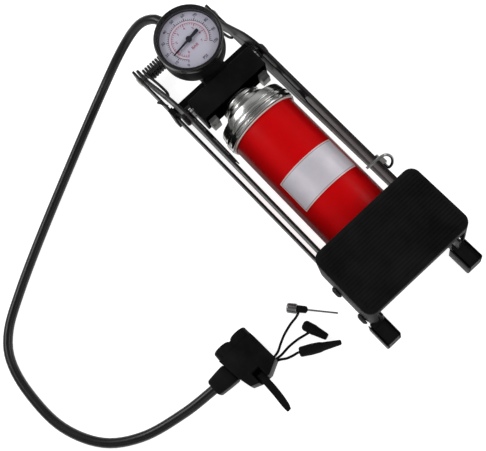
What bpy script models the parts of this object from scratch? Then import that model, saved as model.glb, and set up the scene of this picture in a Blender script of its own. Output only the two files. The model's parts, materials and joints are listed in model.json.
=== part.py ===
"""Folding single-barrel foot pump with a dial gauge, hose, twin-mouth chuck and tethered adapters.

Pump frame: X runs from the hinge to the pedal, Y across it, Z up from the floor.
Lengths below are millimetres and become metres when a mesh is made.
"""
import math

import bmesh
import bpy
from mathutils import Matrix, Vector

MM = 0.001
GAP = 0.3
BODY_CENTRE_X = 142.5

# Folding frame
HINGE = Vector((0, 0, 14))
RAIL_INNER = 40.0
RAIL_THICK = 2.0
RAIL_RADIUS = 10.5
RAIL_TOP = 20.5
ARM_INNER = 36.8
ARM_THICK = 2.0
ARM_END_RADIUS = 9.0
AXLE_RADIUS = 3.0
HOLE_CLEARANCE = 0.4
OUTER_SIDE = 50.8

# Barrel axis
BARREL_SLOPE = math.radians(5.71)
BARREL_ORIGIN = Vector((70.56, 0, 47.62))
PIN_ABOVE_AXIS = 4.4
BARREL_OUTER = 29.0
BARREL_INNER = 27.5
BARREL_START = 33.3
BARREL_END = 151.0
ROD_RADIUS = 4.0
ROD_END = 188.4

# Gauge, measured along and above the barrel axis
GAUGE_ALONG = -33.6
GAUGE_BASE = 13.4
GAUGE_FACE = 41.2
BEZEL_RADIUS = 26.1
NEEDLE_START = math.radians(-83.5)

# Pedal
PEDAL_REAR = 222.4
PEDAL_FRONT = 280.8
PEDAL_HALF = 48.0
PEDAL_TOP = 78.0

# Latch wire and chuck
LATCH_PIVOT = Vector((199, 41.9, 45.5))
WIRE_RADIUS = 1.1
LEVER_PIVOT = Vector((247.2, -130.5, 13))

# Hose
HOSE_RADIUS = 3.9
HOSE_STEP = 17.0
HOSE_ROUTE = (
    (8.0, 0.0, 59.4), (-6.5, -2.6, 59.8), (-19.0, -14.0, 50.0), (-24.5, -36.0, 30.0),
    (-17.8, -74.0, 10.0), (7.3, -130.1, 4.3), (38.5, -189.7, 4.3), (62.5, -231.7, 4.3),
    (80.0, -256.5, 4.3), (100.0, -269.5, 4.3), (130.0, -274.0, 4.3), (167.5, -270.5, 4.3),
    (199.0, -254.0, 4.3), (217.5, -227.0, 5.0), (226.5, -192.0, 8.0), (229.5, -164.2, 11.0),
)

TETHER_RADIUS = 1.0
TETHER_STEP = 5.0
TETHER_ROUTES = {
    "tether_needle": ((243.0, -112.4, 13.0), (241.4, -108.4, 10.2), (237.4, -103.2, 4.6),
                      (233.6, -96.0, 1.8),
                      (231.2, -87.5, 1.6), (231.0, -82.0, 2.6), (230.4, -78.3, 4.2)),
    "tether_round": ((245.2, -112.4, 10.2), (244.6, -108.2, 6.6), (243.2, -100.6, 2.4), (243.6, -92.0, 1.6),
                     (245.2, -86.8, 3.0), (245.9, -83.9, 4.2)),
    "tether_tapered": ((246.7, -112.4, 7.2), (248.6, -108.0, 3.6), (250.2, -103.2, 2.6),
                       (251.5, -98.5, 4.2)),
}


def clear_scene():
    for obj in list(bpy.data.objects):
        bpy.data.objects.remove(obj, do_unlink=True)


def principled(name, colour, roughness, metallic):
    mat = bpy.data.materials.new(name)
    mat.use_nodes = True
    shader = mat.node_tree.nodes["Principled BSDF"]
    shader.inputs["Base Color"].default_value = (*colour, 1)
    shader.inputs["Roughness"].default_value = roughness
    shader.inputs["Metallic"].default_value = metallic
    mat.diffuse_color = (*colour, 1)
    return mat


BLACK_PAINT = ((0.02, 0.02, 0.022), 0.35, 0.4)
BLACK_CHROME = ((0.09, 0.09, 0.095), 0.22, 0.9)
CHROME = ((0.78, 0.78, 0.77), 0.12, 1.0)
STEEL = ((0.55, 0.55, 0.54), 0.3, 1.0)
RUBBER = ((0.018, 0.018, 0.018), 0.75, 0.0)
PLASTIC = ((0.022, 0.022, 0.024), 0.45, 0.0)
RED_ENAMEL = ((0.62, 0.01, 0.015), 0.18, 0.1)
CASTING = ((0.16, 0.16, 0.16), 0.45, 0.8)
DIAL_WHITE = ((0.75, 0.73, 0.78), 0.4, 0.0)
LABEL_SILVER = ((0.66, 0.63, 0.68), 0.3, 0.2)


class Frame:
    """An empty on a joint axis, with the space that its pieces are drawn in."""

    def __init__(self, name, matrix, parent=None):
        self.matrix = matrix
        self.empty = bpy.data.objects.new(name, None)
        bpy.context.scene.collection.objects.link(self.empty)
        if parent:
            self.empty.parent = parent.empty
            self.empty.matrix_local = parent.matrix.inverted() @ matrix
        else:
            self.empty.matrix_world = matrix


def metres(point):
    return Vector(point) * MM


clear_scene()
PUMP = Matrix.Translation(metres((-BODY_CENTRE_X, 0, 0)))
BARREL = PUMP @ Matrix.Translation(metres(BARREL_ORIGIN)) @ Matrix.Rotation(BARREL_SLOPE, 4, "Y")
ROD_PIVOT = BARREL @ Matrix.Translation(metres((ROD_END, 0, 0)))
GAUGE = BARREL @ Matrix.Translation(metres((GAUGE_ALONG, 0, GAUGE_FACE)))

base = Frame("base_frame", PUMP)
arms = Frame("fold_axis", PUMP @ Matrix.Translation(metres(HINGE)), base)
rod = Frame("rod_pivot", ROD_PIVOT, base)
barrel = Frame("barrel_slide", BARREL, rod)
needle = Frame("needle_pivot", GAUGE, barrel)
latch = Frame("latch_pivot", PUMP @ Matrix.Translation(metres(LATCH_PIVOT)), arms)
lever = Frame("lever_pivot", PUMP @ Matrix.Translation(metres(LEVER_PIVOT)), base)


def add_mesh(name, bm, frame, space, look, bevel=0.0, segments=1, angle=35):
    """Turns millimetre geometry drawn in a space into an object of a frame."""
    bmesh.ops.recalc_face_normals(bm, faces=bm.faces)
    bmesh.ops.scale(bm, vec=(MM, MM, MM), verts=bm.verts)
    bmesh.ops.transform(bm, matrix=frame.matrix.inverted() @ space, verts=bm.verts)
    mesh = bpy.data.meshes.new(name)
    bm.to_mesh(mesh)
    bm.free()
    obj = bpy.data.objects.new(name, mesh)
    bpy.context.scene.collection.objects.link(obj)
    obj.parent = frame.empty
    if look:
        mesh.materials.append(principled(name, *look))
    mesh.shade_smooth()
    mesh.set_sharp_from_angle(angle=math.radians(angle))
    if bevel:
        mod = obj.modifiers.new("Bevel", "BEVEL")
        mod.width = bevel * MM
        mod.segments = segments
        mod.limit_method = "ANGLE"
        mod.angle_limit = math.radians(40)
    return obj


def boolean(obj, tool, operation="DIFFERENCE"):
    """Cuts or joins with a hidden helper, ahead of any bevel and of the helpers given before it."""
    tool.hide_render = True
    tool.display_type = "WIRE"
    mod = obj.modifiers.new("Boolean", "BOOLEAN")
    mod.operation = operation
    mod.object = tool
    mod.solver = "EXACT"
    obj.modifiers.move(len(obj.modifiers) - 1, 0)


def box(low, high):
    bm = bmesh.new()
    size = [b - a for a, b in zip(low, high)]
    centre = [(a + b) / 2 for a, b in zip(low, high)]
    bmesh.ops.create_cube(bm, size=1, matrix=Matrix.Translation(centre) @ Matrix.Diagonal((*size, 1)))
    return bm


def slab(outline, low, high, across="Y"):
    """A closed outline pushed out along Y (outline in X, Z) or along Z (outline in X, Y)."""
    bm = bmesh.new()
    if across == "Y":
        verts = [bm.verts.new((x, low, z)) for x, z in outline]
        push = (0, high - low, 0)
    else:
        verts = [bm.verts.new((x, y, low)) for x, y in outline]
        push = (0, 0, high - low)
    face = bm.faces.new(verts)
    made = bmesh.ops.extrude_face_region(bm, geom=[face])["geom"]
    moved = [v for v in made if isinstance(v, bmesh.types.BMVert)]
    bmesh.ops.translate(bm, verts=moved, vec=push)
    return bm


def turned(profile, sides=32, along="X", centre=(0, 0, 0), closed=False):
    """A profile of (distance, radius) spun about an axis. A closed profile makes a ring."""
    bm = bmesh.new()
    turn = {"X": Matrix.Identity(3), "Y": Matrix.Rotation(math.pi / 2, 3, "Z"),
            "Z": Matrix.Rotation(-math.pi / 2, 3, "Y")}[along]
    shift = Vector(centre)
    rings = []
    for distance, radius in profile:
        if radius == 0:
            rings.append([bm.verts.new(turn @ Vector((distance, 0, 0)) + shift)])
            continue
        ring = []
        for i in range(sides):
            a = 2 * math.pi * i / sides
            ring.append(bm.verts.new(turn @ Vector((distance, radius * math.cos(a),
                                                    radius * math.sin(a))) + shift))
        rings.append(ring)
    pairs = list(zip(rings, rings[1:]))
    if closed:
        pairs.append((rings[-1], rings[0]))
    for first, second in pairs:
        for i in range(sides):
            j = (i + 1) % sides
            corners = [first[i % len(first)], first[j % len(first)], second[j % len(second)],
                       second[i % len(second)]]
            bm.faces.new(list(dict.fromkeys(corners)))
    return bm


def arc(cx, cy, radius, start, end, steps):
    angles = [math.radians(start + (end - start) * i / steps) for i in range(steps + 1)]
    return [(cx + radius * math.cos(a), cy + radius * math.sin(a)) for a in angles]


def rounded(half_x, half_y, radius, steps=4, centre=(0, 0)):
    """A rectangle with round corners."""
    points = []
    for sx, sy, start in ((1, 1, 0), (-1, 1, 90), (-1, -1, 180), (1, -1, 270)):
        points += arc(centre[0] + sx * (half_x - radius), centre[1] + sy * (half_y - radius), radius,
                      start, start + 90, steps)
    return points


def smooth_curve(route, step):
    """Evenly spaced points on a Catmull-Rom curve through the route."""
    knots = [Vector(p) for p in route]
    ends = [2 * knots[0] - knots[1], *knots, 2 * knots[-1] - knots[-2]]
    dense = []
    for p0, p1, p2, p3 in zip(ends, ends[1:], ends[2:], ends[3:]):
        for i in range(24):
            t = i / 24
            dense.append(0.5 * (2 * p1 + (p2 - p0) * t + (2 * p0 - 5 * p1 + 4 * p2 - p3) * t ** 2
                                + (3 * p1 - p0 - 3 * p2 + p3) * t ** 3))
    dense.append(knots[-1])
    total = sum((b - a).length for a, b in zip(dense, dense[1:]))
    count = max(3, round(total / step))
    spacing = total / count
    points, travelled, wanted = [dense[0]], 0.0, spacing
    for a, b in zip(dense, dense[1:]):
        length = (b - a).length
        while travelled + length >= wanted and len(points) < count:
            points.append(a.lerp(b, (wanted - travelled) / length))
            wanted += spacing
        travelled += length
    points.append(dense[-1])
    return points


def tube(name, points, radius, frame, space, look, resolution=2):
    """A round bar bent along the points."""
    curve = bpy.data.curves.new(name, "CURVE")
    curve.dimensions = "3D"
    curve.bevel_depth = radius * MM
    curve.bevel_resolution = resolution
    curve.use_fill_caps = True
    spline = curve.splines.new("POLY")
    spline.points.add(len(points) - 1)
    to_frame = frame.matrix.inverted() @ space
    for point, place in zip(spline.points, points):
        point.co = (*(to_frame @ metres(place)), 1)
    obj = bpy.data.objects.new(name, curve)
    bpy.context.scene.collection.objects.link(obj)
    obj.parent = frame.empty
    curve.materials.append(principled(name, *look))
    return obj


def drill(obj, frame, space, centre, radius, low, high, along="Y"):
    hole = add_mesh(obj.name + "_hole", turned(((low, 0), (low, radius), (high, radius), (high, 0)), 16,
                                               along,
                                               centre), frame, space, None)
    boolean(obj, hole)


def sided(name, side):
    return name + ("_left" if side < 0 else "_right")


def span(side, near, far):
    """The Y range between two distances from the middle, on one side."""
    return sorted((side * near, side * far))


# ---------------------------------------------------------------- base frame
FOOT_TONGUE_TOP = 15.0
FOOT_TONGUE_END = 284.0
BAR_LOW_X = 42.0
BAR_HIGH_X = 48.5
PIVOT = BARREL_ORIGIN + Matrix.Rotation(BARREL_SLOPE, 3, "Y") @ Vector((ROD_END, 0, 0))


def rail_outline(grow=0.0):
    radius = RAIL_RADIUS + grow
    low = HINGE.z - radius
    top = RAIL_TOP + grow
    top_angle = 180 - math.degrees(math.asin((top - HINGE.z) / radius))
    rear = arc(HINGE.x, HINGE.z, radius, top_angle, 270, 10)
    return rear + [(FOOT_TONGUE_END + grow, low), (FOOT_TONGUE_END + grow, FOOT_TONGUE_TOP + grow),
                   (266, FOOT_TONGUE_TOP + grow), (256, top)]


for side in (-1, 1):
    low, high = span(side, RAIL_INNER, RAIL_INNER + RAIL_THICK)
    rail = add_mesh(sided("base_rail", side), slab(rail_outline(), low, high), base, PUMP, BLACK_CHROME)
    drill(rail, base, PUMP, HINGE, AXLE_RADIUS + HOLE_CLEARANCE, low - 1, high + 1)

    foot = add_mesh(sided("foot", side), slab(rounded(10.2, 7.0, 1.2, 2, (285.2, side * 41.2)), 0, 18, "Z"),
                    base, PUMP, RUBBER)
    collar = add_mesh(sided("foot_collar", side), box((268.6, side * 41.2 - 3.2, 1.5),
                                                      (278, side * 41.2 + 3.2, 16.8)),
                      base, PUMP, None)
    pocket = add_mesh(sided("foot_pocket", side), slab(rail_outline(GAP), low - GAP, high + GAP), base,
                      PUMP, None)
    boolean(foot, pocket)
    boolean(foot, collar, "UNION")

bar = add_mesh("rear_cross_bar", box((BAR_LOW_X, -39.5, 12), (BAR_HIGH_X, 39.5, 22.5)), base, PUMP, PLASTIC)
for side in (-1, 1):
    low, high = span(side, RAIL_INNER - GAP, RAIL_INNER + RAIL_THICK + GAP)
    channel = box((BAR_LOW_X - 10, low, 3.2), (BAR_HIGH_X + 10, high, RAIL_TOP + GAP))
    boolean(bar, add_mesh(sided("bar_channel", side), channel, base, PUMP, None))
for side in (-1, 1):
    low, high = span(side, 39.2, 43.5)
    end = add_mesh(sided("bar_end", side), box((BAR_LOW_X, low, 0), (BAR_HIGH_X, high, 26)), base, PUMP,
                   None)
    boolean(bar, end, "UNION")

add_mesh("front_cross_plate", box((244, -39.6, 3.5), (268, 39.6, 5.5)), base, PUMP, BLACK_CHROME)
clevis = add_mesh("rod_clevis", box((250, -10.5, 5.8), (266, 10.5, 36.5)), base, PUMP, STEEL)
drill(clevis, base, PUMP, PIVOT, AXLE_RADIUS + HOLE_CLEARANCE, -12, 12)
boolean(clevis, add_mesh("clevis_space", box((249, -8.5, 7.8), (267, 8.5, 40)), base, PUMP, None))
add_mesh("rod_pin", turned(((-13, 0), (-13, 5), (-10.8, 5), (-10.8, AXLE_RADIUS), (13, AXLE_RADIUS),
                            (13, 0)), 16,
                           "Y", PIVOT), base, PUMP, STEEL)

axle_profile = ((-43.6, 0), (-43.6, 3.4), (-42.9, 4.3), (-42.3, 4.3), (-42.3, AXLE_RADIUS),
                (42.3, AXLE_RADIUS), (42.3, 4.3), (42.9, 4.3), (43.6, 3.4), (43.6, 0))
add_mesh("hinge_axle", turned(axle_profile, 16, "Y", HINGE), base, PUMP, STEEL)

# ---------------------------------------------------------------- folding arms
ARM_TOP = ((6, 22.9), (14, 27.4), (24, 35.6), (36, 45.0), (50, 56.0), (60, 61.6), (68, 64.6), (76, 66.0),
           (84, 66.2), (112, 63.8), (223, 54.9), (281, 50.3))
ARM_BOTTOM = ((281, 28.8), (223, 33.2), (112, 42.4), (86, 44.0), (72, 42.2), (60, 38.5), (50, 35.0),
              (42, 31.0),
              (34, 26.0), (24, 18.5), (14, 10.5), (6, 6.2))
TILT_PIN = BARREL_ORIGIN + Matrix.Rotation(BARREL_SLOPE, 3, "Y") @ Vector((0, 0, PIN_ABOVE_AXIS))
BOLT_PLACES = ((246.0, 44.0), (272.0, 42.0))

arm_outline = list(ARM_TOP) + list(ARM_BOTTOM) + arc(HINGE.x, HINGE.z, ARM_END_RADIUS, 290, 70, 12)
for side in (-1, 1):
    low, high = span(side, ARM_INNER, ARM_INNER + ARM_THICK)
    arm = add_mesh(sided("arm", side), slab(arm_outline, low, high), arms, PUMP, BLACK_CHROME)
    drill(arm, arms, PUMP, HINGE, AXLE_RADIUS + HOLE_CLEARANCE, low - 1, high + 1)
    drill(arm, arms, PUMP, TILT_PIN, AXLE_RADIUS + GAP, low - 1, high + 1)
    for x, z in BOLT_PLACES:
        drill(arm, arms, PUMP, (x, 0, z), 2.5 + GAP, low - 1, high + 1)

    low, high = span(side, 34.3, 35.3)
    strip = [(66, 57.5), (64.5, 52), (66, 46.5), (72, 44.8), (96, 44.6), (118, 45.4), (126, 50.5),
             (118, 55.6),
             (96, 58.6), (72, 59.4)]
    doubler = add_mesh(sided("arm_doubler", side), slab(strip, low, high), arms, PUMP, BLACK_CHROME)
    low, high = span(side, 35.0, 36.5)
    for x, z in ((93, 51.6), (119, 50.4)):
        dimple = add_mesh("dimple", turned(((low, 0), (low, 4), (high, 4), (high, 0)), 12, "Y", (x, 0, z)),
                          arms, PUMP, None)
        boolean(doubler, dimple, "UNION")
    drill(doubler, arms, PUMP, TILT_PIN, AXLE_RADIUS + GAP, -40, 40)

    pin_profile = ((31.8, 0), (31.8, AXLE_RADIUS), (39.1, AXLE_RADIUS), (39.1, 5.2), (41.0, 5.2),
                   (42.0, 4.2),
                   (42.0, 0))
    add_mesh(sided("tilt_pin", side), turned([(side * d, r) for d, r in pin_profile], 16, "Y", TILT_PIN),
             arms, PUMP, BLACK_CHROME)
    ring = ((31.9, 3.3), (31.9, 5), (34.0, 5), (34.0, 3.3))
    add_mesh(sided("tilt_bush", side), turned([(side * d, r) for d, r in ring], 20, "Y", TILT_PIN, True),
             arms, PUMP, CHROME)

# Pedal: a steel channel under a thick rubber tread, bolted through to both arms
PLATE_TOP = 68.0
plate = add_mesh("pedal_plate", box((226, -41.0, 38), (276.5, 41.0, PLATE_TOP)), arms, PUMP, STEEL)
boolean(plate, add_mesh("plate_space", box((220, -39.3, 30), (290, 39.3, PLATE_TOP - 1.8)), arms, PUMP,
                        None))
half_length = (PEDAL_FRONT - PEDAL_REAR) / 2
middle = (PEDAL_FRONT + PEDAL_REAR) / 2
cover = add_mesh("pedal_cover", slab(rounded(half_length, PEDAL_HALF, 7.5, 4, (middle, 0)), 40, PEDAL_TOP,
                                     "Z"),
                 arms, PUMP, RUBBER, bevel=2.0, segments=2)
boolean(cover, add_mesh("cover_space", box((210, -41.4, 30), (290, 41.4, PLATE_TOP + GAP)), arms, PUMP,
                        None))
for x, z in BOLT_PLACES:
    for obj in (plate, cover):
        drill(obj, arms, PUMP, (x, 0, z), 2.5 + GAP, -60, 60)
for side in (-1, 1):
    for place, (x, z) in zip(("rear", "front"), BOLT_PLACES):
        head = ((36.4, 0), (36.4, 2.5), (PEDAL_HALF + GAP, 2.5), (PEDAL_HALF + GAP, 4.6), (49.5, 4.6),
                (OUTER_SIDE, 3.0), (OUTER_SIDE, 0))
        add_mesh(sided("pedal_bolt_" + place, side), turned([(side * d, r) for d, r in head], 12, "Y",
                                                            (x, 0, z)),
                 arms, PUMP, BLACK_CHROME)

# Torsion spring round the hinge axle, its ends hooked on both arms
COIL_HALF = 34.5
COIL_RADIUS = 5.3
COIL_WIRE = 1.15
COIL_TURNS = 25
COIL_STEPS = 8
coil = []
for i in range(COIL_TURNS * COIL_STEPS + 1):
    a = 2 * math.pi * i / COIL_STEPS - math.pi / 2
    y = -COIL_HALF + 2 * COIL_HALF * i / (COIL_TURNS * COIL_STEPS)
    coil.append((HINGE.x - COIL_RADIUS * math.cos(a), y, HINGE.z - COIL_RADIUS * math.sin(a)))
left_leg = [(34, -35.2, 27.5), (30.5, -33.6, 26.4), (22, -33.2, 23.4), (12, -33.6, 20.9), (5, -34.3, 19.6)]
right_leg = [(x, -y, z) for x, y, z in reversed(left_leg)]
tube("torsion_spring", left_leg + coil + right_leg, COIL_WIRE, arms, PUMP, BLACK_PAINT, 1)
for side in (-1, 1):
    hook = [(26.0, side * 43.6, 15.5), (29.5, side * 43.6, 22.2), (33.5, side * 41.8, 22.6),
            (37.5, side * 40.5, 22.2)]
    tube(sided("spring_hook", side), hook, COIL_WIRE, base, PUMP, BLACK_PAINT, 1)

# ---------------------------------------------------------------- piston rod
add_mesh("piston_rod", turned(((47.3, 0), (47.3, ROD_RADIUS), (179.4, ROD_RADIUS), (179.4, 0)), 16),
         rod, BARREL, CHROME)
eye = add_mesh("rod_eye", slab(arc(ROD_END, 0, 7, -60, 60, 6) + [(179.7, 5), (179.7, -5)], -6, 6), rod,
               BARREL, STEEL)
drill(eye, rod, BARREL, (ROD_END, 0, 0), AXLE_RADIUS + HOLE_CLEARANCE, -8, 8)
add_mesh("piston", turned(((37, 0), (37, 26.2), (38, 27.1), (40.5, 27.1), (40.5, 25.4), (43.5, 25.4),
                           (43.5, 27.1),
                           (46, 27.1), (47, 26.2), (47, 0)), 32), rod, BARREL, PLASTIC)
add_mesh("piston_seal", turned(((40.8, 25.7), (40.8, 26.9), (42, 27.3), (43.2, 26.9), (43.2, 25.7)), 32,
                               closed=True), rod, BARREL, RUBBER)

# ---------------------------------------------------------------- barrel and head
yoke = add_mesh("head_yoke", box((-5.5, -31.4, -9), (14, 31.4, 17.9)), barrel, BARREL, BLACK_PAINT, 0.8, 2)
boolean(yoke, add_mesh("yoke_space", box((-8, -29.4, -12), (18, 29.4, 15.9)), barrel, BARREL, None))
CASTING_FRONT = 6.0
casting = add_mesh("head_casting", slab(rounded(29.1, 12.2, 6, 3), -4, CASTING_FRONT, "Z"), barrel,
                   BARREL @ Matrix(((0, 0, 1, 0), (1, 0, 0, 0), (0, 1, 0, 3.3 * MM), (0, 0, 0, 1))),
                   CASTING)
outlet = add_mesh("casting_outlet", turned(((CASTING_FRONT - 3, 0), (CASTING_FRONT - 3, 12), (14.6, 12),
                                            (14.6, 0)), 24),
                  barrel, BARREL, None)
boolean(casting, outlet, "UNION")
for side in (-1, 1):
    low, high = span(side, 22.0, 28.9)
    ear = slab(((CASTING_FRONT - 3, -6), (17, -6), (20, -3.5), (20, 6), (17, 9), (CASTING_FRONT - 3, 9)),
               low, high)
    boolean(casting, add_mesh(sided("casting_ear", side), ear, barrel, BARREL, None), "UNION")
neck_profile = ((14.9, 13.5), (17, 13.5), (17.4, 16.8), (19.6, 16.8), (20.2, 15.4), (22.2, 15.4),
                (22.8, 18.6),
                (25.7, 18.6), (25.7, 3), (14.9, 3))
add_mesh("head_neck", turned(neck_profile, 32, closed=True), barrel, BARREL, CHROME)
cap_profile = ((26, 18.2), (26.8, 22.5), (28.2, 27.2), (29.2, 29.4), (34.6, 30.4), (35.2, 29.9),
               (36.0, 30.1),
               (36.8, 31.4), (39.2, 31.6), (39.9, 30.6), (40.6, 30.6), (41.2, 31.4), (43, 31.2),
               (43.5, 30.6),
               (43.5, 29.3), (33, 29.3), (33, 3), (26, 3))
add_mesh("barrel_cap", turned(cap_profile, 40, closed=True), barrel, BARREL, CHROME)
add_mesh("cap_ring", turned(((43.8, 29.3), (43.8, 30.2), (44.9, 30.2), (44.9, 29.3)), 40, closed=True),
         barrel,
         BARREL, DIAL_WHITE)
add_mesh("barrel_tube", turned(((BARREL_START, BARREL_INNER), (BARREL_START, BARREL_OUTER),
                                (BARREL_END, BARREL_OUTER), (BARREL_END, BARREL_INNER)), 40, closed=True),
         barrel, BARREL, RED_ENAMEL)
end_profile = ((144, ROD_RADIUS + HOLE_CLEARANCE), (144, 27.2), (151.3, 27.2), (151.3, 29.0), (153, 29.0),
               (154, 28.0), (154, ROD_RADIUS + HOLE_CLEARANCE))
add_mesh("barrel_end_cap", turned(end_profile, 32, closed=True), barrel, BARREL, PLASTIC)

LABEL_INNER = BARREL_OUTER + GAP
LABEL_OUTER = LABEL_INNER + 0.3
outer = arc(0, 0, LABEL_OUTER, 34, 146, 16)
inner = arc(0, 0, LABEL_INNER, 146, 34, 16)
turn_to_axis = Matrix(((0, 0, 1, 0), (1, 0, 0, 0), (0, 1, 0, 0), (0, 0, 0, 1)))
add_mesh("barrel_label", slab(outer + inner, 89.5, 117.8, "Z"), barrel, BARREL @ turn_to_axis, LABEL_SILVER)

# Gauge on a stem behind the head, hose outlet at the end of the stem
stem = slab(((-4.3, -1.5), (-4.3, 12.5), (-12, 13.0), (-44, 13.0), (-44, 0), (-38, -1.5)), -11, 11)
add_mesh("gauge_stem", stem, barrel, BARREL, BLACK_PAINT, 1.0, 2)
gauge_body = ((GAUGE_BASE, 0), (GAUGE_BASE, 23.4), (14.8, 24.9), (18, 25.3), (34.2, 25.3), (34.2, 23.2),
              (33.0, 23.2), (33.0, 0))
add_mesh("gauge_body", turned(gauge_body, 32, "Z", (GAUGE_ALONG, 0, 0)), barrel, BARREL, PLASTIC)
bezel = ((34.5, 22.9), (34.5, BEZEL_RADIUS), (40.6, BEZEL_RADIUS), (GAUGE_FACE, 25.4), (GAUGE_FACE, 24.0),
         (40.0, 23.6), (38.6, 23.6), (38.6, 22.9))
add_mesh("gauge_bezel", turned(bezel, 40, "Z", (GAUGE_ALONG, 0, 0), True), barrel, BARREL, BLACK_CHROME)
dial = ((34.6, 0), (34.6, 22.5), (35.4, 22.5), (35.4, 0))
add_mesh("gauge_dial", turned(dial, 40, "Z", (GAUGE_ALONG, 0, 0)), barrel, BARREL, DIAL_WHITE)
lens = ((38.9, 0), (38.9, 23.3), (39.7, 23.3), (39.7, 0))
add_mesh("gauge_lens", turned(lens, 40, "Z", (GAUGE_ALONG, 0, 0)), barrel, BARREL,
         ((0.9, 0.9, 0.92), 0.05, 0.0))

BELOW_FACE = -4.6
pointer = [(-1.7, 10.2), (-1.9, 8.6), (-1.5, 3.0), (-0.45, -16.8), (0.45, -16.8), (1.5, 3.0), (1.9, 8.6),
           (1.7, 10.2)]
turn_needle = Matrix.Rotation(math.radians(90) + NEEDLE_START, 4, "Z")
hand = add_mesh("gauge_needle", slab(pointer, BELOW_FACE, BELOW_FACE + 0.8, "Z"), needle,
                GAUGE @ turn_needle,
                ((0.015, 0.015, 0.03), 0.4, 0.0))
hub = turned(((BELOW_FACE - 0.6, 0), (BELOW_FACE - 0.6, 3.0), (BELOW_FACE + 1.5, 3.0),
              (BELOW_FACE + 1.5, 0)), 16, "Z")
boolean(hand, add_mesh("needle_hub", hub, needle, GAUGE, None), "UNION")

OUTLET_HEIGHT = 5.5
barb = ((-54, 0), (-54, 3.0), (-52, 4.6), (-51.5, 3.4), (-49.5, 5.0), (-49, 6.0), (-44.3, 6.0), (-44.3, 0))
add_mesh("outlet_barb", turned(barb, 16, "X", (0, 0, OUTLET_HEIGHT)), barrel, BARREL, STEEL)
add_mesh("outlet_ferrule", turned(((-62.0, 0), (-62.0, 5.2), (-61, 5.9), (-55, 5.9), (-54.4, 5.2),
                                   (-54.4, 0)), 16,
                                  "X", (0, 0, OUTLET_HEIGHT)), barrel, BARREL, RUBBER)
tube("hose", smooth_curve(HOSE_ROUTE, HOSE_STEP), HOSE_RADIUS, barrel, PUMP, RUBBER, 2)

# ---------------------------------------------------------------- latch wire
# It rocks in a saddle on the right arm, with a finger end over the arm and a hook beside the rail
saddle = add_mesh("latch_clip", box((196.5, 39.1, 43.2), (201.5, 44.2, 47.8)), arms, PUMP, STEEL)
drill(saddle, arms, PUMP, LATCH_PIVOT, WIRE_RADIUS + GAP, -10, 10, "X")
wire = [(198.4, 27.2, 60.2), (199.0, 33.0, 61.0), (199.8, 41.5, 61.0), (201.4, 45.4, 58.6),
        (204.0, 46.7, 54.8),
        (206.0, 45.0, 50.4), (205.8, 42.7, 46.8), (204.6, 41.9, 45.5), (193.6, 41.9, 45.5),
        (192.4, 42.3, 44.4),
        (192.0, 43.4, 40.0), (192.0, 44.3, 27.0), (192.0, 44.4, 18.0), (192.0, 43.5, 14.6)]
tube("latch_wire", wire, WIRE_RADIUS, latch, PUMP, CHROME, 2)

# ---------------------------------------------------------------- chuck and adapters
MOUTHS = (("near", -138.4), ("far", -122.6))
MOUTH_HEIGHT = 13.0
body_outline = [(219, -146), (238.6, -143.4), (248.6, -140.9), (251.3, -134), (251.5, -124.5),
                (246, -113.4),
                (219, -114.6)]
chuck = add_mesh("chuck_body", slab(body_outline, 4.2, 21.8, "Z"), base, PUMP, PLASTIC)
boolean(chuck, add_mesh("lever_slot", box((241.6, -134.2, 6.0), (256, -126.8, 25)), base, PUMP, None))
for place, y in MOUTHS:
    mouth = turned(((205, 0), (205, 4.6), (224, 4.6), (224, 0)), 20, "X", (0, y, MOUTH_HEIGHT))
    boolean(chuck, add_mesh("mouth_" + place, mouth, base, PUMP, None))
for place, y in MOUTHS:
    snout = turned(((210.6, 0), (210.6, 6.6), (211.4, 7.4), (222, 7.8), (222, 0)), 20, "X",
                   (0, y, MOUTH_HEIGHT))
    boolean(chuck, add_mesh("snout_" + place, snout, base, PUMP, None), "UNION")
for place, y in MOUTHS:
    seal = ((219.5, 3.2), (219.5, 4.3), (223.5, 4.3), (223.5, 3.2))
    add_mesh("chuck_seal_" + place, turned(seal, 16, "X", (0, y, MOUTH_HEIGHT), True), base, PUMP,
             ((0.3, 0.05, 0.04), 0.7, 0.0))
ferrule_outline = [(222.8, -163.2), (236.4, -163.2), (237.4, -152.0), (237.9, -144.0), (221.3, -146.1),
                   (221.6, -152.0)]
add_mesh("chuck_ferrule", slab(ferrule_outline, 4.3, 17.7, "Z"), base, PUMP, PLASTIC, 1.5, 2)
LEVER_HALF = 3.1
lever_side = [(244.0, 15.0), (245.5, 17.2), (249, 17.6), (254, 16.8), (262, 15.2), (270, 12.6),
              (277.5, 8.6),
              (278.8, 6.0), (276, 5.6), (269, 9.4), (261, 12.0), (253, 12.8), (248.5, 10.6), (245.2, 10.4)]
flap = add_mesh("chuck_lever", slab(lever_side, LEVER_PIVOT.y - LEVER_HALF, LEVER_PIVOT.y + LEVER_HALF),
                lever, PUMP, PLASTIC, 0.6, 1)

ADAPTERS = {
    "adapter_needle": ((220.6, -81.6, 4.3), (0.764, 0.645), ((0, 0), (0, 3.2), (0.8, 3.9), (7.6, 3.9),
                                                             (8.0, 2.9),
                                                            (15.0, 2.7), (16.0, 1.2), (16.6, 0.75),
                                                             (38.8, 0.75),
                                                            (39.4, 0.4), (39.4, 0)), STEEL),
    "adapter_round": ((238.6, -81.2, 4.4), (0.949, 0.316), ((0, 0), (0, 2.6), (0.9, 3.6), (2.2, 4.1),
                                                            (9.0, 4.1),
                                                          (11.0, 3.7), (19.8, 2.7), (20.6, 2.2), (20.6, 0)),
                      PLASTIC),
    "adapter_tapered": ((252.0, -97.6, 4.4), (0.498, 0.867), ((0, 0), (0, 3.0), (0.9, 3.9), (9.0, 4.3),
                                                              (16.0, 4.0),
                                                            (18.5, 3.3), (31.5, 2.0), (32.4, 1.3),
                                                              (32.4, 0)),
                        PLASTIC),
}
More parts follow.
